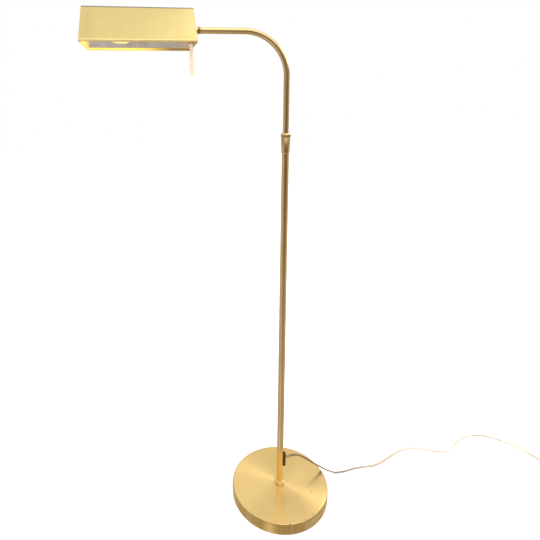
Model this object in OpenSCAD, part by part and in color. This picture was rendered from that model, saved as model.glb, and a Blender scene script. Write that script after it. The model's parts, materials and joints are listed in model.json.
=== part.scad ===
// Adjustable arm floor lamp in brass: weighted round base, telescoping column
// with a clamp collar, bent swivelling arm and a tent shaped reading shade.
// The origin is the centre of the underside, on the floor. +Z is up and the
// arm reaches out along -X.

/* [Base] */
// Diameter of the round base
base_d = 240; // [200:1:280]
// Height of the base
base_h = 28.5; // [26:0.5:36]
// Radius of the rolled edge at the top of the base
base_edge = 3; // [1:0.5:4]

/* [Column] */
// Outer diameter of the lower tube
lower_d = 16; // [15.5:0.1:16.5]
// Wall of the lower tube
lower_wall = 1; // [1:0.05:1.2]
// Height of the foot of the clamp collar
collar_z = 873; // [800:1:900]
// Height of the knurled clamp ring
ring_h = 8; // [6:0.5:10]

/* [Arm] */
// Outer diameter of the sliding and bent arm tube
arm_d = 12.5; // [12:0.1:12.6]
// Height of the arm's level part above the floor
arm_z = 1124; // [1110:1:1160]
// Bend radius of the arm at the tube's centreline
bend_r = 90; // [70:1:100]
// Distance from the column to the shade
reach = 193.5; // [190:0.5:230]
// Height of the arm tube's lower end inside the column
arm_foot_z = 480; // [440:1:520]

/* [Shade] */
// Length of the shade along the arm
shade_l = 214; // [210:1:240]
// Width across the open underside
shade_w = 150; // [146:1:160]
// Height of the tent
shade_h = 73.5; // [72:0.5:80]
// Drop of the open underside below the arm's axis
shade_drop = 31.5; // [30:0.5:34]
// Outer radius along the ridge fold
ridge_r = 6; // [4:0.5:8]
// Sheet thickness
sheet = 1.2; // [1:0.1:1.5]
// Radius of the rolled long edges
roll_r = 2.8; // [2:0.1:3.2]

/* [Switch lever] */
// Lean of the lever from plumb, towards the column
lever_lean = 0.5; // [0:0.5:3]
// Length of the lever from its pin to its tip
lever_l = 72; // [50:1:80]

/* [Mains lead] */
// Width of the flat twin flex
cord_d = 5.4; // [5:0.1:5.6]
// Whole turns in each of the coil's two layers
coil_turns = 3; // [3:1:3]

/* [Hidden] */
$fn = 96;

// Running clearance of a shaft in its bore, and the gap between still parts
run_gap = 0.05;
gap = 0.3;
brass = [0.86, 0.68, 0.34];
bright_brass = [0.93, 0.79, 0.45];
steel = [0.62, 0.63, 0.65];
dark = [0.16, 0.12, 0.10];
flex = [0.86, 0.80, 0.72];

// Base
base_r = base_d / 2;
cover_t = 1.2;
felt_h = 2;
stud_r = 5;
stud_top = 60;
stud_foot = felt_h + 1;
stud_bore = stud_r + 0.4;
nut_af = 17;
nut_h = 6.8;
recess_h = 10;
washer_r = nut_af / 2 + 3;
washer_t = 1.6;
cover_lift = 0.6;

// Column
lower_r = lower_d / 2;
lower_ri = lower_r - lower_wall;
arm_r = arm_d / 2;
arm_wall = 1;
arm_ri = arm_r - arm_wall;
sleeve_l = 34;
tube_in_sleeve = 20;
ring_z = collar_z + sleeve_l;
collet_top = ring_z + ring_h - 2.5;
tube_top = collar_z + tube_in_sleeve;
bush_h = 30;
retain_h = 4;

// Lead outlet on the column
exit_z = 102;
bush_out = 14;
spigot_r = 4;
spigot_l = 2;
relief_l = 9;
lead_r = 2.5;
lead_bore = lead_r + 0.1;

// Arm end and swivel, measured along -X
end_ring_x = reach - 16;
washer_x = reach - 10.5;
boss_x = reach - 9;
swivel_r = 4.5;
plug_in_l = 12;
spring_x = reach + sheet + run_gap;
swivel_nut_x = reach + sheet + 1.3;
hex_af = 14;
hex_h = 4;
stud_end_x = reach + 10;

// Shade, measured from the arm's axis
far_x = reach + shade_l;
tent_a = shade_h - ridge_r;
tent_b = shade_w / 2;
tent_angle = atan2(tent_a, tent_b) + asin(ridge_r / norm([tent_a, tent_b]));
holder_x = reach + 35;
mouth_x = reach + 109;
holder_r = 19.5;
strip_t = 1.5;
nipple_r = 5;
screw_y = 21;
screw_r = 1.5;
ring_r = 27.5;
ring_seat_r = 17;
bulb_r = 26;
neck_r = 14.5;
neck_x = mouth_x - 0.5;
tip_x = mouth_x + 61;

// Switch
pin_x = reach + 5.9;
pin_z = arm_z - 18;
pin_r = 1.5;
box_half_w = 9;
lever_w = 7;
lever_tip_r = 4.2;
lever_t = 5;
hub_r = 3.5;

// Coil and plug of the mains lead
flex_t = 3.3;
coil_c = [790, -85];
coil_r_mid = 30;
coil_r_in = coil_r_mid - coil_turns * cord_d / 2;
coil_r_out = coil_r_mid + coil_turns * cord_d / 2;
tie_t = 0.8;
coil_h = 2 * flex_t + 0.6;
coil_in_angle = 192;
coil_out_angle = 300;
plug_x = 845;
plug_y = -62;
plug_z = 6.9;
prong_y = 32;
prong_gap = 9.3;
prong_r = 2;

// Route of the lead from its strain relief down to the floor and over it
free_route = [
  [23, 0, 102], [32, 0, 102.6], [41, 0, 102], [49, 1, 100.5], [56, 3, 95.5], [69, 6, 83],
  [82, 9, 70.5], [96, 13, 57], [110, 16, 44], [122, 19, 33], [134, 22, 22.5], [147, 25, 13],
  [162, 27, 6], [178, 28, 3.2], [196, 29, 2.8], [220, 33, 2.8], [250, 34, 2.8],
  [282, 34, 2.8], [316, 45, 2.8], [347, 58, 2.8], [381, 70, 2.8], [418, 72, 2.8],
  [448, 62, 2.8], [475, 51, 2.8], [499, 46, 2.8], [523, 51, 2.8], [555, 70, 2.8],
  [580, 81, 2.8], [606, 87, 2.8], [634, 85, 2.8], [660, 75, 2.8], [685, 58, 2.8],
  [706, 36, 2.8], [722, 12, 2.8], [734, -14, 2.8], [742, -41, 2.8], [748, -68, 2.8]
];
tail_route = [
  [819, -112, 5.2], [829, -104.5, 4.2], [837, -96, 3.6], [842, -86, 4.2], [844.5, -75, 5.8]
];

function on_circle(r, a) = [r * cos(a), r * sin(a)];
function coil_point(a, z) = concat(coil_c + on_circle(coil_r_out, a), [z]);
run_points = concat(free_route, [coil_point(coil_in_angle, 2.8)]);
tail_points = concat([coil_point(coil_out_angle, 5.8)], tail_route, [[plug_x, plug_y, plug_z]]);

// A smooth curve through a list of points
function spline_at(p, i, t) =
  let (
    a = p[max(i - 1, 0)],
    b = p[i],
    c = p[i + 1],
    d = p[min(i + 2, len(p) - 1)]
  )
  0.5 * (2 * b + (c - a) * t + (2 * a - 5 * b + 4 * c - d) * t * t
    + (3 * b - a - 3 * c + d) * t * t * t);
function smooth(p, steps) = concat(
  [for (i = [0:len(p) - 2], s = [0:steps - 1]) spline_at(p, i, s / steps)],
  [p[len(p) - 1]]
);
function unit(v) = v / norm(v);
function heading(p, i) = unit(p[min(i + 1, len(p) - 1)] - p[max(i - 1, 0)]);

// Round tube swept along a list of points that never run straight up
module sweep_tube(p, r, sides) {
  rings = len(p);
  points = [
    for (i = [0:rings - 1])
      let (
        t = heading(p, i),
        side = unit(cross(t, [0, 0, 1])),
        up = cross(side, t)
      )
      for (k = [0:sides - 1])
        p[i] + r * (side * cos(360 * k / sides) + up * sin(360 * k / sides))
  ];
  walls = [
    for (i = [0:rings - 2], k = [0:sides - 1])
      let (
        a = i * sides + k,
        b = i * sides + (k + 1) % sides
      )
      for (face = [[a, a + sides, b], [b, a + sides, b + sides]]) face
  ];
  near_end = [for (k = [0:sides - 1]) k];
  far_end = [for (k = [0:sides - 1]) rings * sides - 1 - k];
  polyhedron(points, concat(walls, [near_end, far_end]), convexity = 8);
}

// A piece drawn along +Z is laid along -X on the arm's axis, distances from the column
module along_arm() {
  translate([0, 0, arm_z])
    rotate([0, -90, 0])
      children();
}

module tube_z(r, ri, z0, z1) {
  translate([0, 0, z0])
    difference() {
      cylinder(r = r, h = z1 - z0);
      translate([0, 0, -1]) cylinder(r = ri, h = z1 - z0 + 2);
    }
}

module hex_nut(across, bore_r, h) {
  difference() {
    cylinder(d = across / cos(30), h = h, $fn = 6);
    translate([0, 0, -1]) cylinder(r = bore_r, h = h + 2);
  }
}

// Tent outline of the shade in the plane across the arm, y to the side and z up,
// drawn a distance inwards from the outer skin
function ridge_arc(r, steps) = [
  for (i = [0:steps])
    let (a = 90 - tent_angle + 2 * tent_angle * i / steps)
      [r * cos(a), tent_a + r * sin(a)]
];
function tent_outline(inset) = concat(
  [[tent_b - inset / sin(tent_angle), 0]],
  ridge_arc(ridge_r - inset, 12),
  [[-tent_b + inset / sin(tent_angle), 0]]
);

// Lays a tent section along the arm between two distances from the column
module tent_between(x0, x1) {
  translate([-x1, 0, arm_z - shade_drop])
    rotate([90, 0, 90])
      linear_extrude(x1 - x0)
        children();
}

// ---- Base ----
module base_felt() {
  color("darkslategray")
    cylinder(r = base_r - 3, h = felt_h);
}

module base_weight() {
  color("dimgray")
    difference() {
      translate([0, 0, felt_h]) cylinder(r = base_r - cover_t - 0.2, h = base_h - cover_t - felt_h - 1);
      cylinder(r = stud_bore, h = base_h);
      cylinder(r = washer_r + 1, h = felt_h + recess_h);
      // relief for the rolled edge of the cover
      translate([0, 0, base_h - cover_t - base_edge])
        difference() {
          cylinder(r = base_r + 1, h = base_edge + 1);
          cylinder(r = base_r - base_edge - cover_t, h = base_edge + 1);
        }
    }
}

module base_cover() {
  color(brass)
    rotate_extrude($fn = 180)
      difference() {
        union() {
          translate([stud_bore, cover_lift]) square([base_r - base_edge - stud_bore, base_h - cover_lift]);
          translate([stud_bore, cover_lift]) square([base_r - stud_bore, base_h - base_edge - cover_lift]);
          translate([base_r - base_edge, base_h - base_edge]) circle(r = base_edge);
        }
        translate([0, -1]) square([base_r - cover_t, base_h - base_edge - cover_t + 1]);
        translate([0, -1]) square([base_r - base_edge - cover_t, base_h - cover_t + 1]);
      }
}

module base_stud() {
  color(steel)
    translate([0, 0, stud_foot]) cylinder(r = stud_r, h = stud_top - stud_foot);
}

module base_washer() {
  color(steel)
    tube_z(washer_r, stud_r + 0.2, felt_h + recess_h - washer_t, felt_h + recess_h);
}

module base_nut() {
  color(steel)
    translate([0, 0, felt_h + recess_h - washer_t - nut_h])
      hex_nut(nut_af, stud_r, nut_h);
}

module foot_bushing() {
  color(brass)
    tube_z(lower_ri - 0.02, stud_r, base_h, stud_top + 2);
}

module foot_ring() {
  flange_w = 4;
  flange_t = 2.4;
  neck_w = 2.4;
  neck_h = 3.6;
  bead_r = 1.4;
  color(brass)
    rotate_extrude()
      difference() {
        union() {
          translate([lower_r, base_h]) square([flange_w, flange_t]);
          translate([lower_r + flange_w, base_h + flange_t / 2]) circle(r = flange_t / 2);
          translate([lower_r, base_h + flange_t]) square([neck_w, neck_h]);
          translate([lower_r + neck_w - bead_r, base_h + flange_t + neck_h - 0.6]) circle(r = bead_r);
        }
        translate([0, base_h - 1]) square([lower_r, 2 * (flange_t + neck_h)]);
      }
}

// ---- Column ----
module lower_tube() {
  color(brass)
    difference() {
      tube_z(lower_r, lower_ri, base_h, tube_top);
      translate([0, 0, exit_z]) rotate([0, 90, 0]) cylinder(r = spigot_r + 0.1, h = lower_r + 1);
    }
}

// Oblong outlet bush with a round spigot through the tube's wall
module cord_bush() {
  half_h = 20;
  half_w = 5.5;
  step = 1.5;
  middle_z = exit_z - 6;
  color(dark)
    difference() {
      union() {
        translate([0, 0, middle_z]) rotate([90, 0, 90]) linear_extrude(bush_out - step)
          slot_outline(half_w, half_h);
        translate([0, 0, middle_z]) rotate([90, 0, 90]) linear_extrude(bush_out)
          slot_outline(half_w - step, half_h - step);
        spigot();
      }
      difference() {
        translate([0, 0, middle_z - 2 * half_h]) cylinder(r = lower_r, h = 4 * half_h);
        spigot();
      }
      translate([0, 0, exit_z]) rotate([0, 90, 0]) cylinder(r = lead_bore, h = bush_out + 1);
    }
}

module spigot() {
  translate([lower_ri, 0, exit_z])
    rotate([0, 90, 0])
      cylinder(r = spigot_r, h = spigot_l);
}

module slot_outline(half_w, half_h) {
  translate([-half_w, -half_h + half_w]) square([2 * half_w, 2 * (half_h - half_w)]);
  for (s = [-1, 1]) translate([0, s * (half_h - half_w)]) circle(r = half_w);
}

module strain_relief() {
  color([0.55, 0.38, 0.20])
    translate([bush_out, 0, exit_z])
      rotate([0, 90, 0])
        difference() {
          cylinder(r1 = 4, r2 = 3.2, h = relief_l);
          translate([0, 0, -1]) cylinder(r = lead_bore, h = relief_l + 2);
        }
}

// Lead inside the column: through the bush, round an elbow and up the tube
module lower_lead() {
  elbow = 4;
  lead_top = 350;
  color(flex) {
    translate([elbow, 0, exit_z]) rotate([0, 90, 0]) cylinder(r = lead_r, h = bush_out + relief_l - elbow);
    translate([elbow, 0, exit_z + elbow]) rotate([90, 0, 0]) rotate([0, 0, 180])
      rotate_extrude(angle = 90) translate([elbow, 0]) circle(r = lead_r);
    translate([0, 0, exit_z + elbow]) cylinder(r = lead_r, h = lead_top - exit_z - elbow);
  }
}

// Barrel of the clamp collar, slightly tapered, screwed over the tube's top
module collar_sleeve() {
  color(brass)
    rotate_extrude()
      polygon([
        [lower_r, collar_z], [8.7, collar_z], [9.2, collar_z + 1], [9.7, ring_z - gap],
        [lower_r, ring_z - gap]
      ]);
}

// Split bush that grips the arm tube
module collet() {
  slots = 4;
  slot_w = 0.8;
  whole_foot = 8;
  color(bright_brass)
    difference() {
      tube_z(lower_r - run_gap, arm_r + run_gap, tube_top, collet_top);
      for (i = [0:slots - 1])
        rotate([0, 0, 360 * i / slots])
          translate([0, -slot_w / 2, tube_top + whole_foot])
            cube([lower_r + 1, slot_w, collet_top - tube_top]);
    }
}

module clamp_ring() {
  lugs = 36;
  lug_r = 0.4;
  outer_r = 10.2;
  neck_h = 1.8;
  color(brass)
    difference() {
      union() {
        translate([0, 0, ring_z]) cylinder(r = outer_r, h = ring_h);
        for (i = [0:lugs - 1])
          rotate([0, 0, 360 * i / lugs])
            translate([outer_r, 0, ring_z + 1]) cylinder(r = lug_r, h = ring_h - 2);
        translate([0, 0, ring_z + ring_h]) cylinder(r1 = 8.4, r2 = 7.4, h = neck_h);
      }
      translate([0, 0, ring_z - 1]) cylinder(r = lower_r + gap, h = collet_top + gap - ring_z + 1);
      translate([0, 0, ring_z]) cylinder(r = arm_r + gap, h = ring_h + neck_h + 1);
    }
}

// ---- Sliding guide ----
module slide_bush() {
  foot_z = arm_foot_z + retain_h + gap;
  color("ivory")
    tube_z(lower_ri - run_gap, arm_r + run_gap, foot_z, foot_z + bush_h);
}

// ---- Arm ----
module arm_tube() {
  color(bright_brass)
    difference() {
      union() {
        translate([0, 0, arm_foot_z]) cylinder(r = arm_r, h = arm_z - bend_r - arm_foot_z);
        arm_bend(arm_r);
        along_arm() translate([0, 0, bend_r]) cylinder(r = arm_r, h = end_ring_x - bend_r);
      }
      translate([0, 0, arm_foot_z - 1]) cylinder(r = arm_ri, h = arm_z - bend_r - arm_foot_z + 1);
      arm_bend(arm_ri);
      along_arm() translate([0, 0, bend_r]) cylinder(r = arm_ri, h = end_ring_x);
    }
}

// Quarter bend from upright to level
module arm_bend(r) {
  translate([-bend_r, 0, arm_z - bend_r])
    rotate([90, 0, 0])
      rotate_extrude(angle = 90)
        translate([bend_r, 0]) circle(r = r);
}

// Brass ring crimped on the arm tube's foot, it carries the guide bush
module retaining_ring() {
  color(brass)
    tube_z(lower_ri - 0.25, arm_r, arm_foot_z, arm_foot_z + retain_h);
}

// Lead inside the arm, from the tube's foot to the swivel
module arm_lead() {
  color(flex) {
    translate([0, 0, arm_foot_z - 10]) cylinder(r = lead_r, h = arm_z - bend_r - arm_foot_z + 10);
    arm_bend(lead_r);
    along_arm() translate([0, 0, bend_r]) cylinder(r = lead_r, h = stud_end_x - bend_r);
  }
}

// Turned end of the arm, solid round the swivel stud
module arm_end_ring() {
  bead_r = 7;
  bead_x = end_ring_x + 2.5;
  color(bright_brass)
    along_arm()
      difference() {
        union() {
          translate([0, 0, end_ring_x - plug_in_l]) cylinder(r = arm_ri, h = plug_in_l);
          translate([0, 0, end_ring_x]) cylinder(r1 = arm_r, r2 = bead_r, h = bead_x - end_ring_x);
          translate([0, 0, bead_x]) cylinder(r1 = bead_r, r2 = 5.6, h = washer_x - bead_x);
        }
        translate([0, 0, end_ring_x - plug_in_l - 1]) cylinder(r = swivel_r, h = 2 * plug_in_l);
      }
}

// Hollow stud, fixed in the arm's end, that the shade turns on
module swivel_stud() {
  stud_x = end_ring_x - 10;
  color(steel)
    along_arm() tube_z(swivel_r, 3, stud_x, stud_end_x);
}

module friction_washer() {
  color(dark)
    along_arm() tube_z(7.4, swivel_r, washer_x, boss_x);
}

module spring_washer() {
  color(steel)
    along_arm() tube_z(7.2, swivel_r, spring_x, swivel_nut_x);
}

module swivel_nut() {
  color(steel)
    along_arm()
      translate([0, 0, swivel_nut_x])
        hex_nut(hex_af, swivel_r, hex_h);
}

// ---- Shade ----
// The rolled long edges, wrapped round the foot of each panel
module rolls() {
  roll_y = tent_b - (roll_r * cos(tent_angle) + sheet / 2) / sin(tent_angle);
  for (s = [-1, 1]) translate([s * roll_y, roll_r]) circle(r = roll_r);
}

// Folded tent with its two long edges rolled
module shade_shell() {
  color(bright_brass)
    tent_between(reach, far_x) {
      difference() {
        polygon(tent_outline(0));
        polygon(tent_outline(sheet));
        translate([-tent_b - 1, -1]) square([2 * tent_b + 2, roll_r + 1]);
      }
      rolls();
    }
}

module gable(x0, x1) {
  tent_between(x0, x1)
    difference() {
      polygon(tent_outline(sheet));
      rolls();
    }
}

module end_cap_column_side() {
  color(brass)
    difference() {
      gable(reach, reach + sheet);
      along_arm() translate([0, 0, reach - 1]) cylinder(r = swivel_r + run_gap, h = sheet + 2);
      for (s = [-1, 1])
        translate([0, s * screw_y, 0])
          along_arm() translate([0, 0, reach - 1]) cylinder(r = screw_r + 0.1, h = sheet + 2);
    }
}

module end_cap_far_side() {
  color(brass) gable(far_x - sheet, far_x);
}

// Round boss on the outside of the shade, it turns against the friction washer
module cap_boss() {
  color(bright_brass)
    along_arm() tube_z(6.4, swivel_r + run_gap, boss_x + run_gap, reach);
}

// Hat shaped strip that carries the lamp holder clear of the swivel nut
module holder_bracket() {
  strip_w = 16;
  arm_y = 16;
  foot_y = 26;
  inner = reach + sheet;
  color(steel)
    difference() {
      for (s = [-1, 1]) {
        translate([-inner - strip_t, s > 0 ? arm_y : -foot_y, arm_z - strip_w / 2])
          cube([strip_t, foot_y - arm_y, strip_w]);
        translate([-holder_x, s > 0 ? arm_y : -arm_y - strip_t, arm_z - strip_w / 2])
          cube([holder_x - inner, strip_t, strip_w]);
        translate([-holder_x, s > 0 ? 0 : -arm_y - strip_t, arm_z - strip_w / 2])
          cube([strip_t, arm_y + strip_t, strip_w]);
      }
      along_arm() translate([0, 0, holder_x - strip_t - 1]) cylinder(r = nipple_r, h = strip_t + 2);
      for (s = [-1, 1])
        translate([0, s * screw_y, 0]) along_arm() translate([0, 0, reach]) cylinder(r = screw_r, h = 6);
    }
}

module bracket_screws() {
  head_h = 1.4;
  color(brass)
    for (s = [-1, 1])
      translate([0, s * screw_y, 0])
        along_arm() {
          translate([0, 0, reach - head_h]) cylinder(r1 = 2, r2 = 2.9, h = head_h);
          translate([0, 0, reach]) cylinder(r = screw_r, h = sheet + 5);
        }
}

module holder_nipple() {
  color(steel)
    along_arm() tube_z(nipple_r, 3.5, holder_x - 7, holder_x + 9);
}

module holder_nut() {
  color(steel)
    along_arm()
      translate([0, 0, holder_x - strip_t - hex_h])
        hex_nut(hex_af, nipple_r, hex_h);
}

// Screw lamp holder: domed back, barrel and a seat for the ring on its mouth
module lamp_holder() {
  band_x = mouth_x - 22;
  well_x = mouth_x - 28;
  color(dark)
    along_arm()
      rotate_extrude()
        polygon([
          [nipple_r, holder_x], [12, holder_x], [17, holder_x + 4], [18, holder_x + 12],
          [18, band_x], [holder_r, band_x], [holder_r, mouth_x - 3], [ring_seat_r, mouth_x - 3],
          [ring_seat_r, mouth_x], [neck_r + 0.6, mouth_x], [neck_r + 0.6, well_x],
          [nipple_r, well_x]
        ]);
}

// Thin flat ring screwed on the holder's mouth
module holder_ring() {
  color(bright_brass)
    along_arm() tube_z(ring_r, ring_seat_r, mouth_x - 3, mouth_x - 0.5);
}

module bulb_cap() {
  contact_x = mouth_x - 27;
  cap_r = 13.2;
  color(steel)
    along_arm()
      rotate_extrude()
        polygon([
          [0, contact_x], [5, contact_x], [9, contact_x + 4], [cap_r, contact_x + 5],
          [cap_r, neck_x], [0, neck_x]
        ]);
}

// Pear shaped bulb: neck, shoulder and a round end, blown hollow and open at the neck
module bulb_glass() {
  glass_t = 1;
  color("lightyellow")
    along_arm()
      rotate_extrude()
        difference() {
          bulb_section(0);
          bulb_section(glass_t);
        }
}

module bulb_section(inset) {
  centre_x = tip_x - bulb_r;
  shoulder_x = mouth_x + 3;
  shoulder = [
    for (i = [0:6])
      let (t = i / 6)
        [
          neck_r - inset + (bulb_r - neck_r) * (3 * t * t - 2 * t * t * t),
          shoulder_x + (centre_x - shoulder_x) * t
        ]
  ];
  dome = [
    for (i = [1:9])
      (bulb_r - inset) * [cos(10 * i), sin(10 * i)] + [0, centre_x]
  ];
  polygon(concat([[0, neck_x - inset], [13 - inset, neck_x - inset]], shoulder, dome));
}

module head_lead() {
  color(flex)
    along_arm()
      translate([0, 0, stud_end_x + 1]) cylinder(r = 2.4, h = holder_x + 20 - stud_end_x);
}

// ---- Switch ----
// Box open below, on the shade's end, with the lever's pin across it
module switch_housing() {
  wall = 0.8;
  inner = reach + sheet;
  depth = 11;
  bottom = pin_z - 8;
  height = 17;
  color(brass)
    difference() {
      translate([-inner - depth, -box_half_w, bottom]) cube([depth, 2 * box_half_w, height]);
      translate([-inner - depth + wall, -box_half_w + wall, bottom - 1])
        cube([depth - 2 * wall, 2 * (box_half_w - wall), height - wall + 1]);
      translate([-pin_x, box_half_w + 1, pin_z])
        rotate([90, 0, 0]) cylinder(r = pin_r, h = 2 * box_half_w + 2);
    }
}

module lever_pin() {
  color(steel)
    translate([-pin_x, box_half_w, pin_z]) rotate([90, 0, 0]) cylinder(r = pin_r, h = 2 * box_half_w);
}

// Flat plastic lever with a round hub and a rounded tip
module switch_lever() {
  color("ivory")
    translate([-pin_x, 0, pin_z])
      rotate([0, -lever_lean, 0])
        difference() {
          union() {
            translate([0, lever_t / 2 + 1, 0]) rotate([90, 0, 0]) cylinder(r = hub_r, h = lever_t + 2);
            translate([0, lever_t / 2, 0]) rotate([90, 0, 0]) linear_extrude(lever_t) lever_outline();
          }
          translate([0, box_half_w, 0]) rotate([90, 0, 0]) cylinder(r = pin_r + run_gap, h = 2 * box_half_w);
        }
}

// Widens from the hub down to a round tip
module lever_outline() {
  tip_z = lever_tip_r - lever_l;
  polygon([[-lever_w / 2, 0], [lever_w / 2, 0], [lever_tip_r, tip_z], [-lever_tip_r, tip_z]]);
  translate([0, tip_z]) circle(r = lever_tip_r);
}

// ---- Mains lead ----
module cord_run() {
  color(flex) sweep_tube(smooth(run_points, 2), cord_d / 2, 10);
}

module cord_tail() {
  color(flex) sweep_tube(smooth(tail_points, 2), cord_d / 2, 10);
}

module cord_coil() {
  color(flex)
    translate([coil_c[0], coil_c[1], tie_t])
      tube_z(coil_r_out + cord_d / 2, coil_r_in - cord_d / 2, 0, coil_h);
}

// Flat band round the coil's section
module cord_tie() {
  tie_w = 7;
  tie_angle = 100;
  inner_r = coil_r_in - cord_d / 2;
  outer_r = coil_r_out + cord_d / 2;
  color(dark)
    translate([coil_c[0], coil_c[1], 0])
      rotate([0, 0, tie_angle])
        difference() {
          translate([inner_r - tie_t, -tie_w / 2, 0])
            cube([outer_r - inner_r + 2 * tie_t, tie_w, coil_h + 2 * tie_t]);
          translate([inner_r, -tie_w / 2 - 1, tie_t])
            cube([outer_r - inner_r, tie_w + 2, coil_h]);
        }
}

// Flat two pin plug: waisted outline, cord nose towards the lead
module plug_body() {
  half_t = 6.8;
  color(flex)
    translate([plug_x, plug_y, plug_z - half_t])
      difference() {
        linear_extrude(2 * half_t)
          polygon([
            [-5, 0], [5, 0], [6, 10], [11.5, 17], [13, 28], [17.5, 38], [17.5, 42],
            [-17.5, 42], [-17.5, 38], [-13, 28], [-11.5, 17], [-6, 10]
          ]);
        for (s = [-1, 1])
          translate([s * prong_gap, prong_y, half_t]) rotate([-90, 0, 0]) cylinder(r = prong_r, h = 12);
      }
}

module plug_pins() {
  color(steel)
    for (s = [-1, 1])
      translate([plug_x + s * prong_gap, plug_y + prong_y, plug_z])
        rotate([-90, 0, 0]) cylinder(r = prong_r, h = 29);
}

base_felt();
base_weight();
base_cover();
base_stud();
base_washer();
base_nut();
foot_bushing();
foot_ring();
lower_tube();
cord_bush();
strain_relief();
lower_lead();
collar_sleeve();
collet();
clamp_ring();
slide_bush();
arm_tube();
retaining_ring();
arm_lead();
arm_end_ring();
swivel_stud();
friction_washer();
spring_washer();
swivel_nut();
shade_shell();
end_cap_column_side();
end_cap_far_side();
cap_boss();
holder_bracket();
bracket_screws();
holder_nipple();
holder_nut();
lamp_holder();
holder_ring();
bulb_cap();
bulb_glass();
head_lead();
switch_housing();
lever_pin();
switch_lever();
cord_run();
cord_coil();
cord_tie();
cord_tail();
plug_body();
plug_pins();
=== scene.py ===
import json
import math

import bmesh
import bpy
from mathutils import Matrix, Vector


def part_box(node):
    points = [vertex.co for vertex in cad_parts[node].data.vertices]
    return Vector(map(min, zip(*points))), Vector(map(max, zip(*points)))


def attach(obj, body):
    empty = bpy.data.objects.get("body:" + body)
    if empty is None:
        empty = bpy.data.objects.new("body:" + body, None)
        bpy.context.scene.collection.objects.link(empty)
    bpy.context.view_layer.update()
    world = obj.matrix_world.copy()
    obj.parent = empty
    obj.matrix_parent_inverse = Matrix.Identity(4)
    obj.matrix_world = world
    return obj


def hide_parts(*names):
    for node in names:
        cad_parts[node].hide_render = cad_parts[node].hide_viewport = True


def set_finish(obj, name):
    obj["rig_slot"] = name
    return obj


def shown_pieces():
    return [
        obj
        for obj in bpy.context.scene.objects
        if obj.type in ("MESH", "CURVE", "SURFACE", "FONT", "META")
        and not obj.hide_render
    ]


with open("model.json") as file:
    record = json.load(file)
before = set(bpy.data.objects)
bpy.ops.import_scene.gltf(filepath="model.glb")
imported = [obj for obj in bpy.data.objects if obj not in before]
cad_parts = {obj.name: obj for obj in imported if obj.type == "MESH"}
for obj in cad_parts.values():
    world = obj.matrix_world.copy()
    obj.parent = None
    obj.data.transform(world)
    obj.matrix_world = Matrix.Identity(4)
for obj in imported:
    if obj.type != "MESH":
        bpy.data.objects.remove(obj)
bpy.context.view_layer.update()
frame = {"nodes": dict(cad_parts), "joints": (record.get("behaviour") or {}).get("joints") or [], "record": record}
scene = bpy.context.scene
MM = 0.001


# ---- The camera: the photograph's place, level and lens ----
def look_from(place, yaw, pitch, roll, lens, shift):
    """A camera at place, looking along +Y turned yaw towards +X and pitch down."""
    level_part = math.cos(pitch)
    forward = Vector((math.sin(yaw) * level_part, math.cos(yaw) * level_part, -math.sin(pitch)))
    level = Vector((math.cos(yaw), -math.sin(yaw), 0))
    above = level.cross(forward)
    right = math.cos(roll) * level + math.sin(roll) * above
    up = -math.sin(roll) * level + math.cos(roll) * above
    data = bpy.data.cameras.new("camera")
    data.sensor_width = 36
    data.lens = lens
    data.shift_x, data.shift_y = shift
    camera = bpy.data.objects.new("camera", data)
    scene.collection.objects.link(camera)
    turn = Matrix((right, up, -forward)).transposed().to_4x4()
    camera.matrix_world = Matrix.Translation(place) @ turn
    scene.camera = camera


look_from(
    place=Vector((-0.2885, -0.9304, 0.9824)),
    yaw=math.radians(9.01),
    pitch=math.radians(12),
    roll=math.radians(-0.71),
    lens=29.61,
    shift=(0.0891, -0.1348),
)


# ---- Mesh helpers ----
def add_mesh(name, points, faces, body, slot, replaces=()):
    """A smooth mesh that rides on a body, with its material slot and the CAD nodes it stands for."""
    mesh = bpy.data.meshes.new(name)
    mesh.from_pydata([tuple(p) for p in points], [], faces)
    mesh.validate()
    bm = bmesh.new()
    bm.from_mesh(mesh)
    bmesh.ops.recalc_face_normals(bm, faces=bm.faces)
    bm.to_mesh(mesh)
    bm.free()
    mesh.polygons.foreach_set("use_smooth", [True] * len(mesh.polygons))
    obj = bpy.data.objects.new(name, mesh)
    scene.collection.objects.link(obj)
    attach(obj, body)
    if slot:
        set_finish(obj, slot)
    if replaces:
        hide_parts(*replaces)
    return obj


def crease(obj, degrees=35):
    """Smooth shading that breaks at edges sharper than this."""
    mesh = obj.data
    bm = bmesh.new()
    bm.from_mesh(mesh)
    limit = math.radians(degrees)
    for edge in bm.edges:
        if len(edge.link_faces) == 2:
            edge.smooth = edge.calc_face_angle(0) < limit
    bm.to_mesh(mesh)
    bm.free()


def catmull(points, steps):
    """Smooth curve through the points, the same one that the CAD route follows."""
    last = len(points) - 1
    line = []
    for i in range(last):
        a, b = points[max(i - 1, 0)], points[i]
        c, d = points[i + 1], points[min(i + 2, last)]
        for s in range(steps):
            t = s / steps
            line.append(0.5 * (2 * b + (c - a) * t + (2 * a - 5 * b + 4 * c - d) * t * t
                               + (3 * b - a - 3 * c + d) * t ** 3))
    line.append(points[last])
    return line


def even(line, gap):
    """The same line with its points about gap apart."""
    out, spare = [line[0]], 0.0
    for a, b in zip(line, line[1:]):
        length = (b - a).length
        at = gap - spare
        while at <= length:
            out.append(a.lerp(b, at / length))
            at += gap
        spare = (spare + length) % gap if length + spare >= gap else spare + length
    if (out[-1] - line[-1]).length > gap * 0.3:
        out.append(line[-1])
    else:
        out[-1] = line[-1]
    return out


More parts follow.
